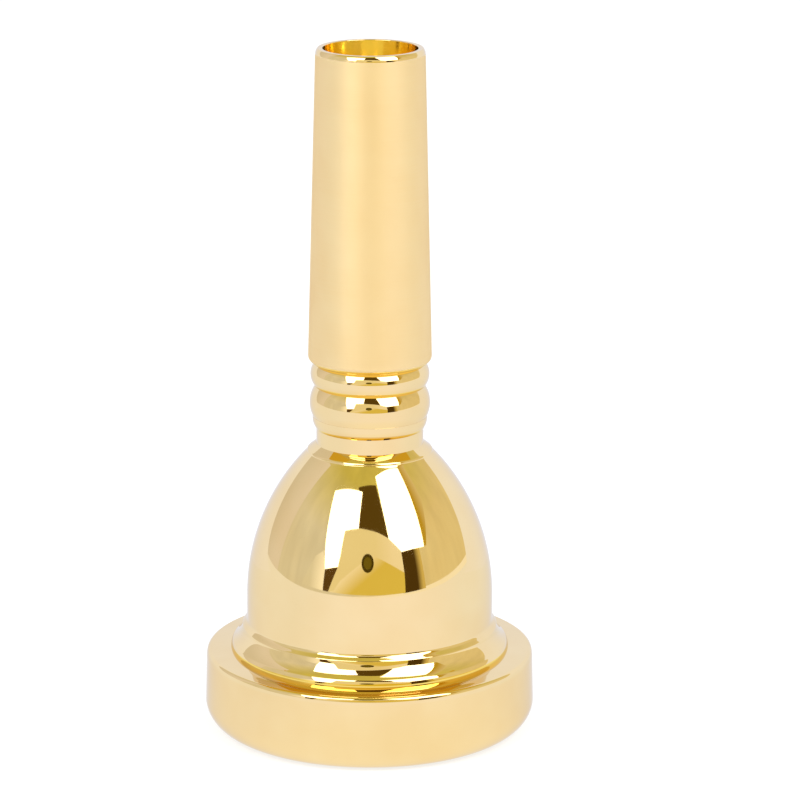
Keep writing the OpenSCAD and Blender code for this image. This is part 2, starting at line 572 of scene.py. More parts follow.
@dataclass
class Thread:
    """A screw thread's ridge, which winds round a plain wall."""

    name: str
    body: Body
    slot: Slot
    side: Side
    # Radius of the wall, height of the ridge, and the heights that it winds between
    wall_r: float
    height: float
    low_z: float
    high_z: float
    pitch: float
    # Width of the ridge's crest, and how far its foot is sunk in the wall
    crest: float = 0.12
    sunk: float = 0.04
    # Angle of the ridge's flanks in radians
    flank_angle: float = math.radians(30)
    # Share of a turn over which the ridge rises at its start and falls at its end
    run_out: float = 0.3
    turn_steps: int = 96

    def build(self) -> bmesh.types.BMesh:
        """Spin the ridge's section up a helix, out of the wall and back into it.

        Returns:
            The ridge's mesh in metres.
        """
        sign = self.side.value
        rise = self.height + 2 * self.sunk
        half_foot = self.crest / 2 + rise * math.tan(self.flank_angle)
        deep = self.wall_r - sign * rise
        section = Outline(deep, self.low_z - half_foot)
        section.line_to(deep + sign * rise, self.low_z - self.crest / 2)
        section.line_to(deep + sign * rise, self.low_z + self.crest / 2)
        section.line_to(deep, self.low_z + half_foot)
        mesh = section.mesh
        mesh.edges.new((section.pen, section.first))
        turns = (self.high_z - self.low_z) / self.pitch
        lift = sign * (rise - self.sunk)
        reach = mesh.verts[:] + mesh.edges[:]
        angle = 0.0
        for share, out in ((self.run_out, lift), (turns - 2 * self.run_out, 0.0), (self.run_out, -lift)):
            steps = math.ceil(share * self.turn_steps)
            step = Vector((out * math.cos(angle), out * math.sin(angle), share * self.pitch)) / steps
            made = bmesh.ops.spin(
                mesh, geom=reach, cent=(0, 0, 0), axis=(0, 0, 1), dvec=step, angle=share * math.tau,
                steps=steps,
            )
            reach = made["geom_last"]
            angle += share * math.tau
        bmesh.ops.holes_fill(mesh, edges=[edge for edge in mesh.edges if edge.is_boundary])
        bmesh.ops.scale(mesh, vec=(MM, MM, MM), verts=mesh.verts[:])
        bmesh.ops.recalc_face_normals(mesh, faces=mesh.faces[:])
        return mesh

    def dress(self, made: Materials) -> None:
        """Make the ridge a piece, as the threading tool left it.

        Args:
            made: The material of each finish.
        """
        def zone(r: float, z: float, normal: Vector) -> Finish:
            """Give every face the same finish."""
            return Finish.TURNED

        materials = {Finish.TURNED: made[Finish.TURNED]}
        make_piece(self.name, self.build(), materials, zone, self.body)


@dataclass(frozen=True)
class Joint:
    """A screw joint: a plain register over a threaded end, in a socket."""

    register_r: float
    register_len: float
    thread_depth: float
    pitch: float
    gap: float = 0.04
    end_gap: float = 0.15
    lead_in: float = 0.3
    # Room left at each end of the thread
    clear: float = 0.5

    @property
    def socket_r(self) -> float:
        """Radius of the socket."""
        return self.register_r + self.gap

    @property
    def root_r(self) -> float:
        """Radius at the foot of the outside thread."""
        return self.register_r - self.thread_depth

    def draw_end(self, pen: Outline, end_z: float, top_z: float) -> None:
        """Draw the screwed end up to its shoulder, from the pen at its end.

        Args:
            pen: The outline.
            end_z: Height of the end.
            top_z: Height of the shoulder.
        """
        pen.line_to(self.root_r - self.lead_in, end_z, rings=4)
        pen.line_to(self.root_r, end_z + self.lead_in)
        pen.line_to(self.root_r, top_z - self.register_len, rings=4)
        pen.line_to(self.register_r, top_z - self.register_len)
        pen.keep_crisp()
        pen.line_to(self.register_r, top_z, rings=2)

    def threads(
        self, outer: Body, inner: Body, slots: tuple[Slot, Slot], end_z: float, top_z: float
    ) -> list[Thread]:
        """List the joint's two threads, half a pitch apart.

        Args:
            outer: The body with the socket.
            inner: The body with the screwed end.
            slots: The slots of the outer and the inner body.
            end_z: Height of the screwed end.
            top_z: Height of its shoulder.

        Returns:
            The thread in the socket and the thread on the end.
        """
        low = end_z + self.clear
        high = top_z - self.register_len - self.clear
        height = self.thread_depth - self.gap
        half = self.pitch / 2
        return [
            Thread(f"{outer.value}_socket_thread", outer, slots[0], Side.INSIDE, self.socket_r, height,
                   low - half, high + half, self.pitch),
            Thread(f"{inner.value}_end_thread", inner, slots[1], Side.OUTSIDE, self.root_r, height,
                   low, high, self.pitch),
        ]


@dataclass
class Rim(TurnedPart):
    """The rim that the lips rest on, with the socket that the cup screws into."""

    body = Body.RIM
    slot = Slot.POLISHED
    finishes = (Finish.POLISHED, Finish.TURNED)

    outer_r: float
    seat_z: float
    floor_z: float
    joint: Joint
    # The wall leans in to its top, where it bends slowly and then quickly over to the shoulder
    top_r: float = 19.45
    edge_r: float = 3.1
    side_r: float = 2.75
    side_turn: float = 14.0
    corner_r: float = 0.45
    # The shoulder falls outwards from a flat seat
    shoulder_fall: float = 0.2
    shoulder_r: float = 16.55
    # The bite is the inner edge that the lips feel
    bite_r: float = 12.7
    bite_edge_r: float = 1.8

    def build(self) -> bmesh.types.BMesh:
        """Draw and spin the rim.

        Returns:
            The rim's mesh in metres.
        """
        turn = math.radians(self.side_turn)
        side_step = self.side_r - self.corner_r
        corner_in = self.top_r - self.side_r + side_step * math.cos(turn)
        corner_z = self.seat_z - self.shoulder_fall - self.corner_r
        side_z = corner_z - side_step * math.sin(turn)
        slope = math.degrees(math.atan2(self.shoulder_fall, corner_in - self.shoulder_r))
        pen = Outline(self.bite_r, self.floor_z)
        pen.keep_crisp()
        pen.line_to(self.bite_r, self.bite_edge_r, rings=4)
        pen.arc(self.bite_r + self.bite_edge_r, self.bite_edge_r, 90)
        pen.line_to(self.outer_r - self.edge_r, 0, rings=4)
        pen.arc(self.outer_r - self.edge_r, self.edge_r, 90, step=2)
        pen.line_to(self.top_r, side_z, rings=8)
        pen.arc(self.top_r - self.side_r, side_z, self.side_turn, step=1)
        pen.arc(corner_in, corner_z, 90 - slope - self.side_turn)
        pen.line_to(self.shoulder_r, self.seat_z, rings=4)
        pen.line_to(self.joint.socket_r, self.seat_z, rings=4)
        pen.keep_crisp()
        pen.line_to(self.joint.socket_r, self.floor_z, rings=6)
        return pen.spun()

    def zone(self, r: float, z: float, normal: Vector) -> Finish:
        """Polish the rim all over but for its socket.

        Args:
            r: Radius of the face.
            z: Height of the face.
            normal: Its normal, with X out from the axis.

        Returns:
            The finish.
        """
        inside = r < self.shoulder_r and z > self.floor_z - SEAM
        socket = inside and (normal.x < INWARD or z < self.seat_z - SEAM)
        return Finish.TURNED if socket else Finish.POLISHED


@dataclass
class Cup(TurnedPart):
    """The cup with its foot, bowl, neck, collar and beads, and the socket that the shank screws into."""

    body = Body.CUP
    slot = Slot.POLISHED
    finishes = (Finish.POLISHED, Finish.TURNED, Finish.GROOVE_SHADE)

    end_z: float
    seat_z: float
    top_z: float
    ring_r: float
    joint: Joint
    socket: Joint
    socket_floor_z: float
    # The inside goes straight up from the bite, and on two arcs into the throat
    bite_r: float = 12.7
    straight: float = 0.8
    inside_arc_r: float = 22.0
    entry_arc_r: float = 4.0
    throat_r: float = 3.3
    # The foot's ring is a half bead, with a cove over it that ends in a crisp edge
    ring_h: float = 0.9
    ring_arc_r: float = 1.6
    cove_h: float = 1.9
    cove_r: float = 3.1
    foot_edge_r: float = 15.13
    # The crisp edge's upper side is a cone, which a fillet joins to the bowl's wall
    foot_cone: float = 45.0
    foot_fillet_r: float = 0.7
    # The bowl's wall runs on into one arc up to its top, and a ledge slopes in to the neck
    bowl_r: float = 14.61
    bowl_wall_h: float = 3.66
    bowl_top_r: float = 7.41
    bowl_edge_r: float = 0.41
    ledge_slope: float = 36.5
    neck_r: float = 6.325
    neck_h: float = 1.79
    # Collar and beads are arcs, each with its widest radius, its height and its arc's radius
    collar_wide_r: float = 6.77
    collar_h: float = 1.52
    collar_r: float = 2.0
    large_bead_wide_r: float = 7.1
    large_bead_h: float = 3.62
    large_bead_mid: float = 1.54
    large_bead_r: float = 3.5
    small_bead_wide_r: float = 7.0
    small_bead_h: float = 2.78
    small_bead_r: float = 2.07

    @property
    def foot_edge_z(self) -> float:
        """Height of the crisp edge over the cove."""
        return self.seat_z + self.ring_h + self.cove_h

    @property
    def collar_z(self) -> float:
        """Height of the collar's foot."""
        return self.top_z - (self.collar_h + self.large_bead_h + self.small_bead_h)

    def draw_foot(self, pen: Outline) -> None:
        """Draw the foot's ring, the cove and the crisp edge, from the pen at the seat.

        Args:
            pen: The outline.
        """
        fillet = self.foot_fillet_r
        cone = math.radians(self.foot_cone)
        cone_r = self.bowl_r + fillet * (1 - math.cos(cone))
        cone_z = self.foot_edge_z + (self.foot_edge_r - cone_r) / math.tan(cone)
        pen.line_to(self.ring_r, self.seat_z, rings=2)
        pen.bead_to(self.ring_r, self.seat_z, self.ring_arc_r, self.seat_z + self.ring_h)
        pen.keep_crisp()
        pen.arc_to(self.foot_edge_r, self.foot_edge_z, self.cove_r, step=2)
        pen.keep_crisp()
        pen.line_to(cone_r, cone_z, rings=2)
        pen.arc(self.bowl_r + fillet, cone_z + fillet * math.sin(cone), -self.foot_cone)

    def draw_bowl(self, pen: Outline, top_z: float) -> None:
        """Draw the bowl up to its top, from the pen at the foot of its wall.

        Args:
            pen: The outline.
            top_z: Height of the bowl's top.
        """
        low_z = self.foot_edge_z + self.bowl_wall_h
        inset = self.bowl_r - self.bowl_top_r
        height = top_z - low_z
        radius = (inset ** 2 + height ** 2) / (2 * inset)
        pen.line_to(self.bowl_r, low_z, rings=6)
        pen.arc(self.bowl_r - radius, low_z, math.degrees(math.asin(height / radius)), step=0.75)
        pen.line_to(self.bowl_top_r, top_z)

    def draw_beads(self, pen: Outline, bowl_top_z: float) -> None:
        """Draw the ledge, the neck, the collar and the two beads, from the pen at the bowl's top.

        Args:
            pen: The outline.
            bowl_top_z: Height of the bowl's top.
        """
        swell = self.collar_wide_r - self.neck_r
        collar_mid = math.sqrt(swell * (2 * self.collar_r - swell))
        large_z = self.collar_z + self.collar_h
        small_z = large_z + self.large_bead_h
        pen.keep_crisp()
        pen.arc(self.bowl_top_r - self.bowl_edge_r, bowl_top_z, 90 - self.ledge_slope, step=4)
        pen.line_to(self.neck_r, self.collar_z - self.neck_h, rings=2)
        pen.line_to(self.neck_r, self.collar_z, rings=4)
        pen.bead_to(self.collar_wide_r, self.collar_z + collar_mid, self.collar_r, large_z)
        pen.bead_to(self.large_bead_wide_r, large_z + self.large_bead_mid, self.large_bead_r, small_z)
        pen.bead_to(self.small_bead_wide_r, small_z + self.small_bead_h / 2, self.small_bead_r, self.top_z)

    def draw_inside(self, pen: Outline) -> None:
        """Draw the shank's socket, the throat and the cup's inside, from the pen at the top.

        Args:
            pen: The outline.
        """
        foot_z = self.end_z + self.straight
        entry_r = self.throat_r + self.entry_arc_r
        centre_r = self.bite_r - self.inside_arc_r
        angle = math.acos((entry_r - centre_r) / (self.inside_arc_r + self.entry_arc_r))
        entry_z = foot_z + (entry_r - centre_r) * math.tan(angle)
        pen.line_to(self.socket.socket_r, self.top_z, rings=2)
        pen.keep_crisp()
        pen.line_to(self.socket.socket_r, self.socket_floor_z, rings=8)
        pen.line_to(self.throat_r, self.socket_floor_z, rings=2)
        pen.keep_crisp()
        pen.line_to(self.throat_r, entry_z, rings=8)
        pen.arc(entry_r, entry_z, math.degrees(angle))
        pen.arc(centre_r, foot_z, -math.degrees(angle), step=2)

    def build(self) -> bmesh.types.BMesh:
        """Draw and spin the cup.

        Returns:
            The cup's mesh in metres.
        """
        slope = math.radians(self.ledge_slope)
        ledge_r = self.bowl_top_r - self.bowl_edge_r * (1 - math.sin(slope))
        ledge_h = self.bowl_edge_r * math.cos(slope) + (ledge_r - self.neck_r) * math.tan(slope)
        bowl_top_z = self.collar_z - self.neck_h - ledge_h
        pen = Outline(self.bite_r, self.end_z)
        pen.keep_crisp()
        self.joint.draw_end(pen, self.end_z, self.seat_z)
        self.draw_foot(pen)
        self.draw_bowl(pen, bowl_top_z)
        self.draw_beads(pen, bowl_top_z)
        self.draw_inside(pen)
        return pen.spun()

    def zone(self, r: float, z: float, normal: Vector) -> Finish:
        """Polish the cup where it shows, paint shade in its grooves, and leave its joints and throat turned.

        Args:
            r: Radius of the face.
            z: Height of the face.
            normal: Its normal, with X out from the axis.

        Returns:
            The finish.
        """
        screwed = z < self.seat_z - SEAM and normal.x > INWARD
        socket = r < self.socket.socket_r + SEAM and z > self.socket_floor_z - SEAM
        throat = r < self.bowl_top_r and normal.x < INWARD
        if screwed or socket or throat:
            return Finish.TURNED
        # The lower half of the foot's ring, in the groove over the rim, and the undersides of the collar and
        # beads get painted shade: a deeper yellow
        at_ring = r > self.foot_edge_r and z < self.seat_z + self.ring_h / 2
        under_bead = r > self.neck_r and z > self.collar_z and normal.z < UNDERSIDE
        return Finish.GROOVE_SHADE if at_ring or under_bead else Finish.POLISHED


@dataclass
class Shank(TurnedPart):
    """The shank that plugs into the instrument, with its tapered airway."""

    body = Body.SHANK
    slot = Slot.SATIN
    finishes = (Finish.SATIN, Finish.POLISHED, Finish.TURNED, Finish.GROOVE_SHADE)

    end_z: float
    foot_z: float
    tip_z: float
    joint: Joint
    throat_r: float = 3.3
    # The taper grows by a millimetre in each run of this length
    tip_r: float = 6.35
    taper_run: float = 20.0
    edge_r: float = 0.86
    # The lip bends slowly and then quickly over to its top
    lip_wall: float = 0.83
    lip_r: float = 1.0
    lip_turn: float = 40.0
    lip_top_r: float = 0.15
    lip_inner_r: float = 0.08
    flare_len: float = 12.0
    flare_angle: float = 3.5
    # The airway opens a little more in its last millimetres
    mouth_len: float = 3.0
    mouth_angle: float = 5.2
    # Height of the buffed band under the lip
    buffed_lip: float = 0.65

    def taper_r(self, z: float) -> float:
        """Radius of the taper at a height."""
        return self.tip_r + (self.tip_z - z) / self.taper_run / 2

    def build(self) -> bmesh.types.BMesh:
        """Draw and spin the shank.

        Returns:
            The shank's mesh in metres.
        """
        edge_z = self.foot_z + self.edge_r
        turn = math.radians(self.lip_turn)
        lip_step = self.lip_r - self.lip_top_r
        lip_z = self.tip_z - self.lip_top_r - lip_step * math.sin(turn)
        lip_centre = self.taper_r(lip_z) - self.lip_r
        lip_top = lip_centre + lip_step * math.cos(turn)
        bore_r = self.tip_r - self.lip_wall
        mouth_r = bore_r - (self.mouth_len - self.lip_inner_r) * math.tan(math.radians(self.mouth_angle))
        flare_r = bore_r - (self.flare_len - self.lip_inner_r) * math.tan(math.radians(self.flare_angle))
        pen = Outline(self.throat_r, self.end_z)
        pen.keep_crisp()
        self.joint.draw_end(pen, self.end_z, self.foot_z)
        pen.line_to(self.taper_r(edge_z) - self.edge_r, self.foot_z, rings=2)
        pen.arc(self.taper_r(edge_z) - self.edge_r, edge_z, 90)
        pen.line_to(self.taper_r(lip_z), lip_z, rings=24)
        pen.arc(lip_centre, lip_z, self.lip_turn, step=2)
        pen.arc(lip_top, lip_z + lip_step * math.sin(turn), 90 - self.lip_turn, step=5)
        pen.line_to(bore_r + self.lip_inner_r, self.tip_z)
        pen.arc(bore_r + self.lip_inner_r, self.tip_z - self.lip_inner_r, 90, step=6)
        pen.line_to(mouth_r, self.tip_z - self.mouth_len, rings=4)
        pen.line_to(flare_r, self.tip_z - self.flare_len, rings=8)
        pen.line_to(self.throat_r, self.end_z, rings=24)
        return pen.spun()

    def zone(self, r: float, z: float, normal: Vector) -> Finish:
        """Brush the shank outside, buff its lip, paint shade on its underside, and leave its joint and airway
        turned.

        Args:
            r: Radius of the face, which is not used.
            z: Height of the face.
            normal: Its normal, with X out from the axis.

        Returns:
            The finish.
        """
        if z > self.tip_z - self.buffed_lip and (normal.x > 0 or normal.z > LIP_TOP):
            return Finish.POLISHED
        if z < self.foot_z - SEAM or normal.x < INWARD:
            return Finish.TURNED
        # Faces that point down, at the shank's rounded foot, get painted shade: a deeper yellow
        return Finish.GROOVE_SHADE if normal.z < UNDERSIDE else Finish.SATIN


@dataclass
class Mouthpiece:
    """The whole mouthpiece: three turned pieces and the threads that join them."""

    rim_joint: Joint = Joint(register_r=15.0, register_len=1.5, thread_depth=0.5, pitch=1.0)
    shank_joint: Joint = Joint(register_r=5.0, register_len=1.5, thread_depth=0.45, pitch=0.8)

    def build(self) -> None:
        """Build and dress every piece at the heights that the frame gives."""
        made = {finish: finish.value.material() for finish in Finish}
        rim_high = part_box(Body.RIM.value)[1] / MM
        cup_low, cup_high = (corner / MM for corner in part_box(Body.CUP.value))
        shank_low, shank_high = (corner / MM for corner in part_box(Body.SHANK.value))
        rim_floor = cup_low.z - self.rim_joint.end_gap
        cup_floor = shank_low.z - self.shank_joint.end_gap
        rim = Rim(rim_high.x, rim_high.z, rim_floor, self.rim_joint)
        cup = Cup(
            cup_low.z, rim_high.z, cup_high.z, cup_high.x, self.rim_joint, self.shank_joint, cup_floor
        )
        shank = Shank(shank_low.z, cup_high.z, shank_high.z, self.shank_joint)
        rim_and_cup = (Slot.POLISHED, Slot.POLISHED)
        cup_and_shank = (Slot.POLISHED, Slot.SATIN)
        threads = self.rim_joint.threads(Body.RIM, Body.CUP, rim_and_cup, cup_low.z, rim_high.z)
        threads += self.shank_joint.threads(Body.CUP, Body.SHANK, cup_and_shank, shank_low.z, cup_high.z)
        for part in (rim, cup, shank, *threads):
            part.dress(made)


def direction(azimuth: float, elevation: float) -> Vector:
    """Turn a direction from the bowl to a vector.

    Args:
        azimuth: Degrees to the right of the camera.
        elevation: Degrees above the table.

    Returns:
        The unit vector.
    """
    a, e = math.radians(azimuth), math.radians(elevation)
    return Vector((math.sin(a) * math.cos(e), -math.cos(a) * math.cos(e), math.sin(e)))


@dataclass(frozen=True)
class Card:
    """A flat studio card, given by the directions of its corners as the bowl sees them."""

    name: str
    # Azimuth and elevation of each corner, and how far the card is from the bowl
    corners: tuple[tuple[float, float], ...]
    distance: float
    colour: str
    strength: float = 1.0
    # Colour that the card fades from, and the directions between which it does
    first_colour: str = ""
    fade: tuple[tuple[float, float], tuple[float, float]] = ((0.0, 0.0), (0.0, 0.0))

    def spot(self, azimuth: float, elevation: float) -> Vector:
        """Find a point of the card, which faces the bowl, from its direction.

        Args:
            azimuth: Degrees to the right of the camera.
            elevation: Degrees above the table.

        Returns:
            The point in metres.
        """
        facing = sum((direction(*corner) for corner in self.corners), Vector()).normalized()
        way = direction(azimuth, elevation)
        return BOWL_MIDDLE + way * self.distance / way.dot(facing)

    def material(self) -> bpy.types.Material:
        """Make the card's own light.

        Returns:
            The new material.
        """
        material, tree = empty_material(self.name)
        colour = linear(self.colour)
        if self.first_colour:
            start, end = (self.spot(*place) for place in self.fade)
            way = end - start
            place = add_node(tree, "ShaderNodeTexCoord").outputs["Object"]
            along = add_node(tree, "ShaderNodeVectorMath", {0: place, 1: way}, operation="DOT_PRODUCT")
            inputs = {"Value": along.outputs["Value"], "From Min": start.dot(way), "From Max": end.dot(way)}
            share = add_node(tree, "ShaderNodeMapRange", inputs).outputs[0]
            inputs = {MIX_SHARE: share, MIX_FIRST: linear(self.first_colour), MIX_SECOND: colour}
            colour = add_node(tree, "ShaderNodeMix", inputs, data_type="RGBA").outputs[MIX_RESULT]
        light = add_node(tree, "ShaderNodeEmission", {"Color": colour, "Strength": self.strength}).outputs[0]
        add_node(tree, "ShaderNodeOutputMaterial", {"Surface": light})
        return material


@dataclass(frozen=True)
class StudioPaper:
    """Matt white paper: white with a soft shadow, and mirrored in a cooler shade further off and behind."""

    name: str = "white_paper"
    matte: str = "#F4F4F4"
    white: str = "#FFFFFF"
    # Share of plain white in what the camera sees, which keeps the shadow pale
    white_share: float = 0.7
    # Colours that the metal mirrors before the part and behind it, near it and further off: painted shade,
    # cooler further off and behind, and warmer and a little darker near the part as painted shadow of the
    # part and gold light thrown back from it
    front_near: str = "#F2F1F2"
    front_far: str = "#F2F2FF"
    back_near: str = "#EAEAF2"
    back_far: str = "#EAEFFF"
    mirrored: float = 1.12
    # Distances in metres between which near turns to far
    near: float = 0.035
    far: float = 0.065
    # The way to the back, and how much of it a place has where front starts and ends turning to back
    back_way: tuple[float, float, float] = (-0.2, 1.0, 0.0)
    front_end: float = -0.95
    back_start: float = -0.2

    def shade(self, tree: bpy.types.NodeTree) -> bpy.types.NodeSocket:
        """Add the colour that the metal mirrors.

        Args:
            tree: The material's tree.

        Returns:
            The colour's output.
        """
        place = add_node(tree, "ShaderNodeTexCoord").outputs["Object"]
        way = add_node(tree, "ShaderNodeVectorMath", {0: place}, operation="NORMALIZE").outputs[0]
        back = add_node(tree, "ShaderNodeVectorMath", {0: way, 1: self.back_way}, operation="DOT_PRODUCT")
        inputs = {"Value": back.outputs["Value"], "From Min": self.front_end, "From Max": self.back_start}
        behind = add_node(tree, "ShaderNodeMapRange", inputs).outputs[0]
        away = add_node(tree, "ShaderNodeVectorMath", {0: place}, operation="LENGTH").outputs["Value"]
        inputs = {"Value": away, "From Min": self.near, "From Max": self.far}
        distant = add_node(tree, "ShaderNodeMapRange", inputs).outputs[0]
        sides = []
        for near, far in ((self.front_near, self.front_far), (self.back_near, self.back_far)):
            inputs = {MIX_SHARE: distant, MIX_FIRST: linear(near), MIX_SECOND: linear(far)}
            sides.append(add_node(tree, "ShaderNodeMix", inputs, data_type="RGBA").outputs[MIX_RESULT])
        inputs = {MIX_SHARE: behind, MIX_FIRST: sides[0], MIX_SECOND: sides[1]}
        return add_node(tree, "ShaderNodeMix", inputs, data_type="RGBA").outputs[MIX_RESULT]

    def material(self) -> bpy.types.Material:
        """Make the material.

        Returns:
            The new material.
        """
        material, tree = empty_material(self.name)
        path = add_node(tree, "ShaderNodeLightPath").outputs
        inputs = {0: path["Is Glossy Ray"], 1: path["Is Transmission Ray"]}
        by_mirror = add_node(tree, "ShaderNodeMath", inputs, operation="MAXIMUM").outputs[0]
        inputs = {0: path["Is Camera Ray"], 1: self.white_share}
        by_camera = add_node(tree, "ShaderNodeMath", inputs, operation="MULTIPLY").outputs[0]
        matte = add_node(tree, "ShaderNodeBsdfDiffuse", {"Color": linear(self.matte)}).outputs[0]
        inputs = {"Color": linear(self.white), "Strength": 1.0}
        white = add_node(tree, "ShaderNodeEmission", inputs).outputs[0]
        inputs = {"Color": self.shade(tree), "Strength": self.mirrored}
        sheen = add_node(tree, "ShaderNodeEmission", inputs).outputs[0]
        table = add_node(tree, "ShaderNodeMixShader", {0: by_camera, 1: matte, 2: white}).outputs[0]
        both = add_node(tree, "ShaderNodeMixShader", {0: by_mirror, 1: table, 2: sheen}).outputs[0]
        add_node(tree, "ShaderNodeOutputMaterial", {"Surface": both})
        return material


@dataclass(frozen=True)
class RoomPaintAndGlow:
    """Dim matt paint that glows as painted room light: grey on the left, tan on the right and olive overhead,
    in soft upright folds.
    """

    room_r: float
    name: str = "room_paint_and_glow"
    left: str = "#DEDEDA"
    right: str = "#E4DAB5"
    overhead: str = "#CCC56E"
    # Parts of the room's radius where left has turned to right, and between which walls turn to ceiling
    side: float = 0.5
    wall_top: float = 0.49
    ceiling: float = 0.88
    # Folds in a metre across and up, and the light in their hollows and on their crests
    folds_across: float = 4.5
    folds_up: float = 0.5
    dim: float = 0.93
    bright: float = 1.06

    def material(self) -> bpy.types.Material:
        """Make the material.

        Returns:
            The new material.
        """
        material, tree = empty_material(self.name)
        place = add_node(tree, "ShaderNodeTexCoord").outputs["Object"]
        axes = add_node(tree, "ShaderNodeSeparateXYZ", {0: place}).outputs
        side, wall_top, ceiling = (part * self.room_r for part in (self.side, self.wall_top, self.ceiling))
        inputs = {"Value": axes["X"], "From Min": -side, "From Max": side}
        across = add_node(tree, "ShaderNodeMapRange", inputs).outputs[0]
        inputs = {"Value": axes["Z"], "From Min": wall_top, "From Max": ceiling}
        up = add_node(tree, "ShaderNodeMapRange", inputs).outputs[0]
        inputs = {MIX_SHARE: across, MIX_FIRST: linear(self.left), MIX_SECOND: linear(self.right)}
        walls = add_node(tree, "ShaderNodeMix", inputs, data_type="RGBA").outputs[MIX_RESULT]
        inputs = {MIX_SHARE: up, MIX_FIRST: walls, MIX_SECOND: linear(self.overhead)}
        paint = add_node(tree, "ShaderNodeMix", inputs, data_type="RGBA").outputs[MIX_RESULT]
        inputs = {"Vector": place, "Scale": (self.folds_across, self.folds_across, self.folds_up)}
        upright = add_node(tree, "ShaderNodeMapping", inputs).outputs[0]
        inputs = {"Vector": upright, "Scale": 1.0, "Detail": 2.0}
        folds = add_node(tree, "ShaderNodeTexNoise", inputs).outputs[0]
        inputs = {"From Min": NOISE_LOW, "From Max": NOISE_HIGH, "To Min": self.dim, "To Max": self.bright}
        level = add_node(tree, "ShaderNodeMapRange", {"Value": folds, **inputs}).outputs[0]
        light = add_node(tree, "ShaderNodeEmission", {"Color": paint, "Strength": level}).outputs[0]
        add_node(tree, "ShaderNodeOutputMaterial", {"Surface": light})
        return material


@dataclass(frozen=True)
class LensRing:
    """A round part of the lens that the metal mirrors, with its radius as a part of its distance."""

    name: str
    distance: float
    size: float
    colour: str


@dataclass(frozen=True)
class SweepSide:
    """One side of the paper sweep: where it leaves the table, and its bend's radius and angle in radians."""

    x: float
    start: float
    bend_r: float
    angle: float


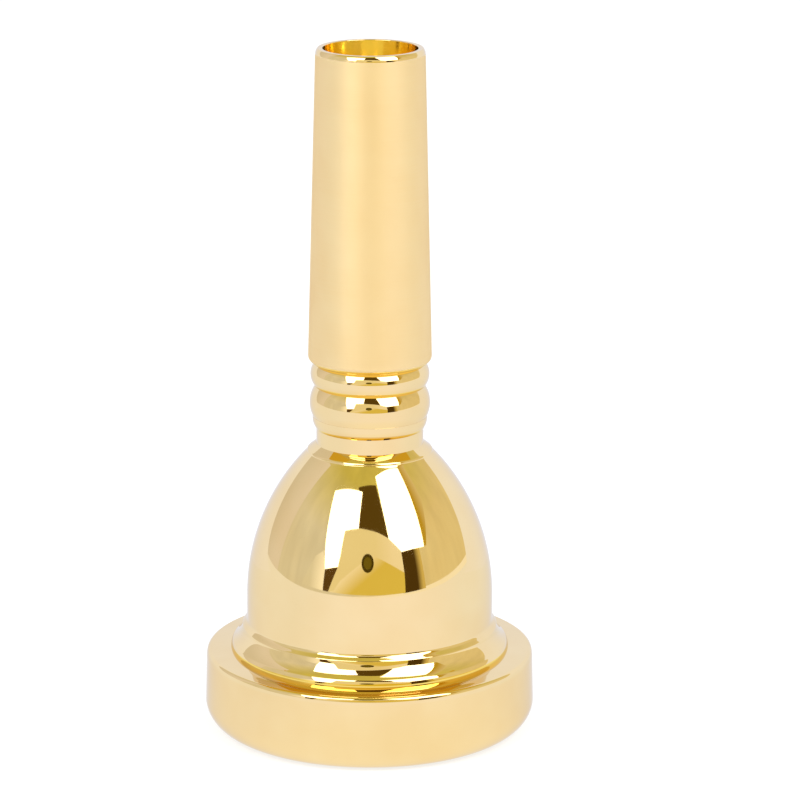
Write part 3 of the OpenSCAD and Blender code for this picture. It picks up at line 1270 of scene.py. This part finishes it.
@dataclass
class Studio:
    """The white table and sweep, the room that the metal mirrors, and the lamps."""

    table_r: float = 3.0
    room_r: float = 1.3
    # The room is cut off over the table by a plane that leans a little
    room_foot: float = 0.03
    room_lean: float = -0.026
    # The sweep lies just over the table, and its wall goes straight on from the bend
    sweep_sides: tuple[SweepSide, ...] = (
        SweepSide(x=-0.30, start=0.082, bend_r=0.16, angle=math.radians(48)),
        SweepSide(x=0.45, start=0.085, bend_r=0.07, angle=math.radians(58)),
    )
    sweep_lift: float = 0.0002
    sweep_wall: float = 1.2
    sweep_colour: str = "#E6EBFF"
    sweep_light: float = 1.18
    # Direction of the lens, how flat its rings are, and the rings
    lens_place: tuple[float, float] = (-2.0, 18.0)
    lens_flat: float = 0.9
    lens_rings: tuple[LensRing, ...] = (
        LensRing("barrel", distance=0.36, size=0.1, colour="#4A3E10"),
        LensRing("lens", distance=0.355, size=0.065, colour="#6E621C"),
    )
    # Name and direction of each lamp, and the size, power and distance that they share
    lamps: tuple[tuple[str, float, float], ...] = (("left_lamp", -40, 40), ("right_lamp", 45, 42))
    lamp_size: float = 0.5
    lamp_power: float = 6.0
    lamp_distance: float = 0.9
    cards: tuple[Card, ...] = (
        Card("left_softbox", ((-62, 49), (-14, 57), (-13.6, 36), (-28, 14), (-30.6, 14.4), (-44, 11.5),
                              (-48.5, 24.1), (-53.4, 36.2)), 0.50, "#FFFFFF", strength=SOFTBOX),
        Card("right_softbox", ((15, 66), (18.3, 49.4), (21.8, 29.1), (33, 22), (59, 20), (64, 38), (75, 59)),
             0.50, "#FFFFFF", strength=SOFTBOX),
        Card("right_shade", ((58, 20), (62, 20), (80, 38), (92, 60), (72, 62), (60, 40)), 0.60, "#E3DAB6",
             first_colour="#BFA232", fade=((66, 35), (80, 32))),
        Card("left_panel", ((-98, 50), (-98, -1.2), (-145, -1.2), (-145, 50)), 0.95, "#E5E3EC",
             first_colour="#DAD8DA", fade=((-128, 10), (-106, 10))),
        Card("left_bounce", ((-66, 0.6), (-56, 16), (-49, 20), (-43, 11), (-43.5, 0.6)), 0.66,
             "#FFFFFF", strength=1.05, first_colour="#DCDCD6", fade=((-58, 9), (-46, 9))),
        Card("left_back_board", ((-106, 50), (-106, 74), (-162, 74), (-162, 40)), 0.80, "#D0AC38"),
        Card("right_back_board", ((104, 50), (104, 74), (162, 74), (162, 40)), 0.80, "#D0AC38"),
        Card("gap_flag", ((-23, 59), (-14, 30), (22, 27), (13, 61)), 0.62, "#5A4719"),
        # The camera card carries painted light and shade: lighter to the right, and on its bent foot bright
        # along the crease and darker and yellower below it
        Card("camera_card", ((-29.5, 33.7), (-12, 36.6), (9.6, 34.4), (21, 30.6), (33, 22.5), (33.5, 10.5),
                             (-38.7, 0.6), (-31.3, 14), (-30.2, 20)), 0.40, "#F6F0DC",
             first_colour="#EDE6C2", fade=((6, 25), (24, 25))),
        Card("camera_card_foot", ((-38.7, 0.6), (-8, 18), (4, 22), (33.5, 11), (33, 0.6)), 0.38, "#DFCD68",
             first_colour="#F8F2DC", fade=((-23.3, 9.3), (-18.5, 0.5))),
        Card("left_flag", ((-44, 11.5), (-30.6, 14.4), (-31, 8), (-37, 0.6), (-44, 0.6)), 0.60, "#5C451F"),
        Card("right_flag", ((33, 22.3), (53, 21), (53, 10), (53.6, 0.6), (31, 0.6)), 0.60, "#D4C077",
             first_colour="#4E3B15", fade=((46, 10), (51.5, 10))),
    )

    def set_up(self, name: str, mesh: bmesh.types.BMesh, material: bpy.types.Material, rays: Rays) -> None:
        """Make a mesh a part of the studio.

        Args:
            name: The object's name.
            mesh: Its mesh, which is freed.
            material: Its material.
            rays: The rays that see it.
        """
        data = bpy.data.meshes.new(name)
        mesh.to_mesh(data)
        mesh.free()
        data.materials.append(material)
        thing = bpy.data.objects.new(name, data)
        bpy.context.scene.collection.objects.link(thing)
        if rays is Rays.MIRRORED:
            thing.visible_camera = thing.visible_diffuse = thing.visible_shadow = False
            thing.visible_transmission = thing.visible_volume_scatter = False
        log.info("%s stands in the studio", name)

    def build_card(self, card: Card) -> None:
        """Stand a card where the bowl sees it.

        Args:
            card: The card.
        """
        mesh = bmesh.new()
        for azimuth, elevation in card.corners:
            mesh.verts.new(card.spot(azimuth, elevation))
        bmesh.ops.contextual_create(mesh, geom=mesh.verts[:])
        self.set_up(card.name, mesh, card.material(), Rays.MIRRORED)

    def build_lens(self) -> None:
        """Add the round lens in the camera card, with its dark barrel."""
        facing = direction(*self.lens_place)
        turn = facing.to_track_quat("Z", "Y").to_matrix().to_4x4()
        for ring in self.lens_rings:
            mesh = bmesh.new()
            bmesh.ops.create_circle(mesh, cap_ends=True, segments=48, radius=ring.distance * ring.size)
            bmesh.ops.scale(mesh, vec=(1, self.lens_flat, 1), verts=mesh.verts[:])
            bmesh.ops.transform(mesh, matrix=turn, verts=mesh.verts[:])
            bmesh.ops.translate(mesh, vec=BOWL_MIDDLE + facing * ring.distance, verts=mesh.verts[:])
            material = Card(ring.name, (), ring.distance, ring.colour).material()
            self.set_up(ring.name, mesh, material, Rays.MIRRORED)

    def build_table(self) -> None:
        """Lay the table and raise the paper sweep behind it, whose two sides start at different depths."""
        mesh = bmesh.new()
        bmesh.ops.create_circle(mesh, cap_ends=True, segments=64, radius=self.table_r)
        self.set_up("table", mesh, StudioPaper().material(), Rays.ALL)
        mesh = bmesh.new()
        for side in self.sweep_sides:
            pen = mesh.verts.new((side.x, side.start, self.sweep_lift))
            made = bmesh.ops.spin(
                mesh, geom=[pen], cent=(side.x, side.start, side.bend_r), axis=(1, 0, 0), angle=side.angle,
                steps=12,
            )
            top = next(item for item in made["geom_last"] if isinstance(item, bmesh.types.BMVert))
            wall = bmesh.ops.extrude_vert_indiv(mesh, verts=[top])["verts"]
            up = Vector((0, math.cos(side.angle), math.sin(side.angle)))
            bmesh.ops.translate(mesh, verts=wall, vec=up * self.sweep_wall)
        bmesh.ops.bridge_loops(mesh, edges=mesh.edges[:])
        shaded = Card("shaded_paper", (), 0.0, self.sweep_colour, self.sweep_light).material()
        self.set_up("sweep", mesh, shaded, Rays.MIRRORED)

    def build_room(self) -> None:
        """Raise the room as a dome over the table, behind the cards and the sweep."""
        mesh = bmesh.new()
        bmesh.ops.create_uvsphere(mesh, u_segments=96, v_segments=48, radius=self.room_r)
        bmesh.ops.bisect_plane(
            mesh, geom=mesh.verts[:] + mesh.edges[:] + mesh.faces[:], plane_co=(0, 0, self.room_foot),
            plane_no=(self.room_lean, 0, 1), clear_inner=True,
        )
        self.set_up("room", mesh, RoomPaintAndGlow(self.room_r).material(), Rays.MIRRORED)

    def light_world(self) -> None:
        """Make the world white."""
        world = bpy.data.worlds.new("white_studio")
        bpy.context.scene.world = world
        world.use_nodes = True
        tree = world.node_tree
        tree.nodes.clear()
        sky = add_node(tree, "ShaderNodeBackground", {"Color": linear("#FFFFFF"), "Strength": 1.0})
        add_node(tree, "ShaderNodeOutputWorld", {"Surface": sky.outputs[0]})

    def hang_lamps(self) -> None:
        """Hang two soft lamps for the table, where the softboxes are."""
        for name, azimuth, elevation in self.lamps:
            lamp = bpy.data.lights.new(name, "AREA")
            lamp.shape = "SQUARE"
            lamp.size = self.lamp_size
            lamp.energy = self.lamp_power
            holder = bpy.data.objects.new(name, lamp)
            away = direction(azimuth, elevation)
            holder.location = BOWL_MIDDLE + away * self.lamp_distance
            holder.rotation_mode = "QUATERNION"
            holder.rotation_quaternion = away.to_track_quat("Z", "Y")
            holder.visible_glossy = False
            bpy.context.scene.collection.objects.link(holder)

    def build(self) -> None:
        """Set up the whole studio."""
        self.build_table()
        self.build_room()
        for card in self.cards:
            self.build_card(card)
        self.build_lens()
        self.light_world()
        self.hang_lamps()


@dataclass(frozen=True)
class PhotoCamera:
    """The camera at the photograph's place, which looks a little down on the mouthpiece."""

    # Place in millimetres, and angles in radians
    location: tuple[float, float, float] = (0.0, -446.46, 158.27)
    tilt: float = 0.25973
    roll: float = 0.0014
    lens: float = 176.69
    sensor: float = 36.0
    # The axis stands left of the picture's middle
    shift: float = 0.0376

    def place(self) -> None:
        """Make the camera the scene's own."""
        data = bpy.data.cameras.new("photo_camera")
        data.lens = self.lens
        data.sensor_width = self.sensor
        data.shift_x = self.shift
        camera = bpy.data.objects.new("photo_camera", data)
        camera.location = Vector(self.location) * MM
        camera.rotation_mode = "ZYX"
        camera.rotation_euler = (math.pi / 2 - self.tilt, 0, self.roll)
        bpy.context.scene.collection.objects.link(camera)
        bpy.context.scene.camera = camera


def main() -> None:
    """Place the camera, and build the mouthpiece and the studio."""
    logging.basicConfig(level=logging.INFO, format="%(message)s")
    bpy.context.scene.view_settings.view_transform = "Standard"
    PhotoCamera().place()
    Mouthpiece().build()
    Studio().build()


if __name__ == "__main__":
    main()
